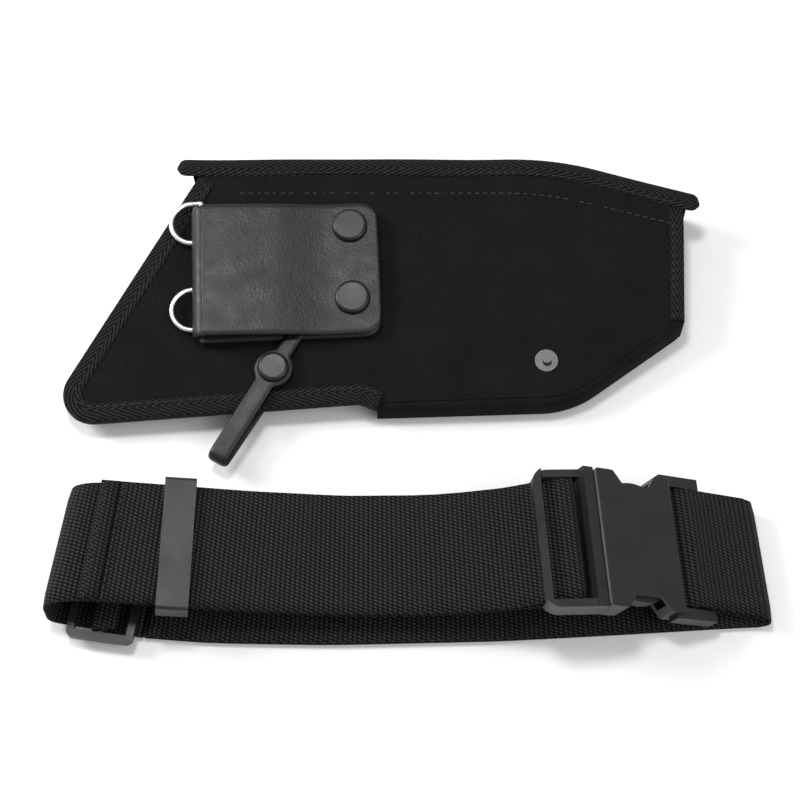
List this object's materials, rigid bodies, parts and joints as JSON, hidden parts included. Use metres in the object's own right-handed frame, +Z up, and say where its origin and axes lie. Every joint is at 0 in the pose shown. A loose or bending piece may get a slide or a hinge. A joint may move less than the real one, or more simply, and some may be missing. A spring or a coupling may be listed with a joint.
{
  "type": "tool sheath with belt",
  "caption": "Black soft sheath with a slanted open mouth, snap-up leather belt loop, retention strap and D-rings, lying beside its webbing belt with a side-release buckle.",
  "frame": {"origin": "on the table, under the middle of the whole layout's bounding box", "axes": "+X along the sheath towards its closed end, +Y from the belt towards the sheath's stitched top edge, +Z up"},
  "size_m": [0.2884, 0.2145, 0.0392],
  "materials": {
    "shell_fabric": "matt woven nylon",
    "liner": "smooth",
    "spine": "dense foam under fabric",
    "binding_tape": "herringbone tape",
    "loop_leather": "fine grain, soft sheen",
    "strap_leather": "fine grain",
    "ring_steel": "bright nickel plate",
    "snap_black": "satin black",
    "snap_steel": "plated",
    "stud_steel": "bright plated",
    "webbing": "woven webbing",
    "buckle_plastic": "fine matt texture"
  },
  "bodies": {
    "sheath": {"back_panel": "shell_fabric", "front_panel": "shell_fabric", "liner_back": "liner", "liner_front": "liner", "gusset": "shell_fabric", "top_spine": "spine", "mouth_binding_back": "binding_tape", "mouth_binding_front": "binding_tape", "top_binding": "binding_tape", "end_binding": "binding_tape", "loop_base": "loop_leather", "loop_snap_studs": "snap_steel", "strap_back": "strap_leather", "strap_rivet": "snap_steel", "strap_snap_stud": "snap_steel", "accessory_stud": "stud_steel", "accessory_washer": "snap_steel"},
    "loop_flap": {"belt_loop_flap": "loop_leather", "loop_snap_caps": "snap_black", "loop_snap_sockets": "snap_steel"},
    "ring_upper": {"d_ring_upper": "ring_steel"},
    "ring_lower": {"d_ring_lower": "ring_steel"},
    "retention_strap": {"strap_front": "strap_leather", "strap_snap_cap": "snap_black", "strap_snap_socket": "snap_steel"},
    "belt_female": {"webbing_back": "webbing", "female_housing": "buckle_plastic"},
    "belt_male": {"male_frame": "buckle_plastic", "webbing_front": "webbing"},
    "prong_far_body": {"prong_far": "buckle_plastic"},
    "prong_near_body": {"prong_near": "buckle_plastic"},
    "keeper_body": {"keeper": "buckle_plastic"},
    "slider_body": {"slider": "buckle_plastic", "webbing_end": "webbing"}
  },
  "joints": [
    {"name": "belt_draw", "type": "slide", "parent": "sheath", "child": "belt_female", "axis": [0, -1, 0], "range_m": [0, 0.12]},
    {"name": "buckle_release", "type": "slide", "parent": "belt_female", "child": "belt_male", "axis": [-0.8966, -0.0627, 0.4384], "range_m": [0, 0.04]},
    {"name": "prong_far_squeeze", "type": "hinge", "parent": "belt_male", "child": "prong_far_body", "pos_m": [0.07165, -0.05137, 0.03008], "axis": [-0.4373, -0.0306, -0.8988], "range_deg": [0, 6], "stiffness_Nm_per_rad": 0.5},
    {"name": "prong_near_squeeze", "type": "hinge", "parent": "belt_male", "child": "prong_near_body", "pos_m": [0.07455, -0.09287, 0.03008], "axis": [0.4373, 0.0306, 0.8988], "range_deg": [0, 6], "stiffness_Nm_per_rad": 0.5},
    {"name": "keeper_slide", "type": "slide", "parent": "belt_male", "child": "keeper_body", "axis": [0.9924, -0.0173, -0.1219], "range_m": [-0.006, 0.006]},
    {"name": "adjuster_slide", "type": "slide", "parent": "belt_male", "child": "slider_body", "axis": [-0.9903, 0.1392, 0], "range_m": [0, 0.004]},
    {"name": "belt_loop_open", "type": "hinge", "parent": "sheath", "child": "loop_flap", "pos_m": [-0.086, 0.04888, 0.02856], "axis": [0.0436, -0.9936, -0.1044], "range_deg": [0, 100]},
    {"name": "ring_upper_swing", "type": "hinge", "parent": "sheath", "child": "ring_upper", "pos_m": [-0.08874, 0.07438, 0.0242], "axis": [-0.0436, 0.9936, 0.1044], "range_deg": [0, 45]},
    {"name": "ring_lower_swing", "type": "hinge", "parent": "sheath", "child": "ring_lower", "pos_m": [-0.08701, 0.03484, 0.02005], "axis": [-0.0436, 0.9936, 0.1044], "range_deg": [0, 45]},
    {"name": "strap_open", "type": "hinge", "parent": "sheath", "child": "retention_strap", "pos_m": [-0.07735, -0.02696, 0.01335], "axis": [0.866, -0.4973, -0.0523], "range_deg": [0, 120]}
  ],
  "couplings": [
    {"joint": "prong_near_squeeze", "follows": "prong_far_squeeze", "ratio": 1}
  ]
}
